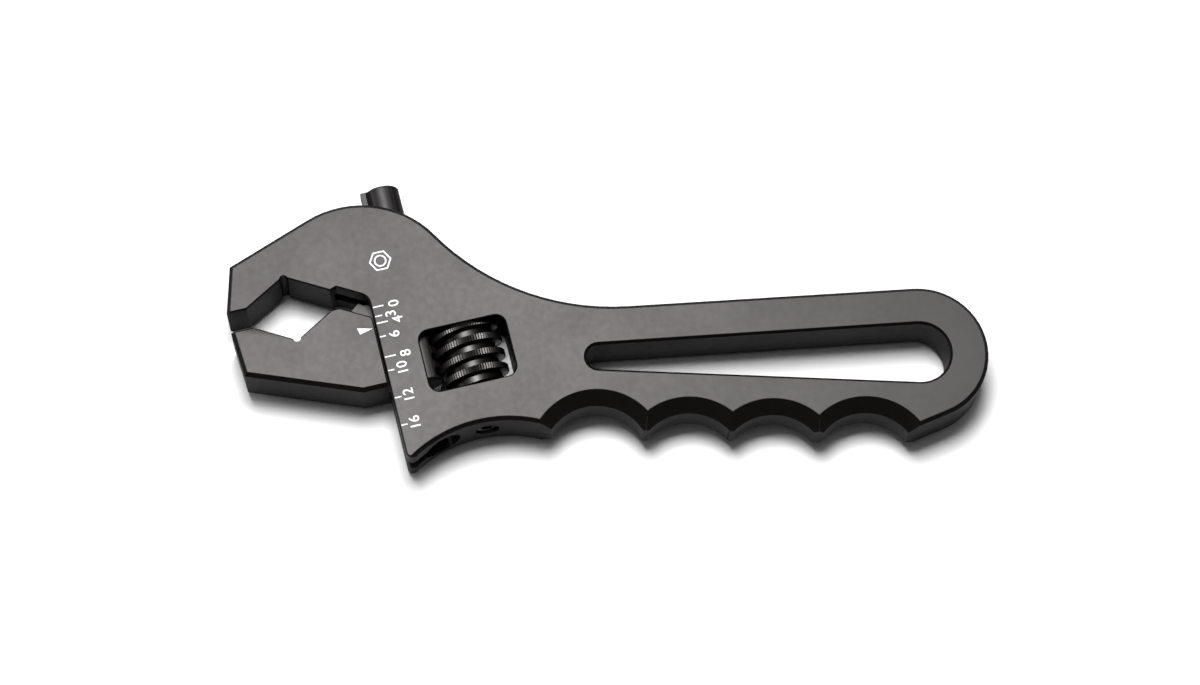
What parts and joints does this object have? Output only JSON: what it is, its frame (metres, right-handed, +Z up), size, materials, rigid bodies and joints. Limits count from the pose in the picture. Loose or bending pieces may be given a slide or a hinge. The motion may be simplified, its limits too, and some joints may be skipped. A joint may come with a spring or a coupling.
{
  "type": "adjustable wrench",
  "caption": "Adjustable wrench with notched hexagon jaws, worm-driven sliding jaw, slotted handle and finger grooves.",
  "frame": {"origin": "middle of the whole wrench, at the level of its lowest point", "axes": "+X along the handle from the jaws to the grip end, +Y from the finger grooves to the back of the handle, +Z up out of the marked face"},
  "size_m": [0.1914, 0.0742, 0.0179],
  "materials": {
    "black_anodised": "satin black anodised",
    "black_steel": "glossy black oxide",
    "bright_steel": "ground steel",
    "white_marking": "white laser marking"
  },
  "bodies": {
    "handle": {"wrench_body": "black_anodised", "worm_pin": "bright_steel", "worm_spring": "bright_steel", "pin_grub_screw": "black_steel"},
    "jaw": {"sliding_jaw": "black_anodised"},
    "worm": {"adjusting_worm": "black_steel"}
  },
  "joints": [
    {"name": "worm_spin", "type": "hinge", "parent": "handle", "child": "worm", "pos_m": [-0.03463, -0.00991, 0.00897], "axis": [-0.2198, 0.9755, 0], "range_deg": [-442, 2431]},
    {"name": "jaw_slide", "type": "slide", "parent": "handle", "child": "jaw", "axis": [0.2198, -0.9755, 0], "range_m": [-0.0049, 0.027]}
  ],
  "couplings": [
    {"joint": "worm_spin", "follows": "jaw_slide", "rad_per_m": 1570.8}
  ]
}
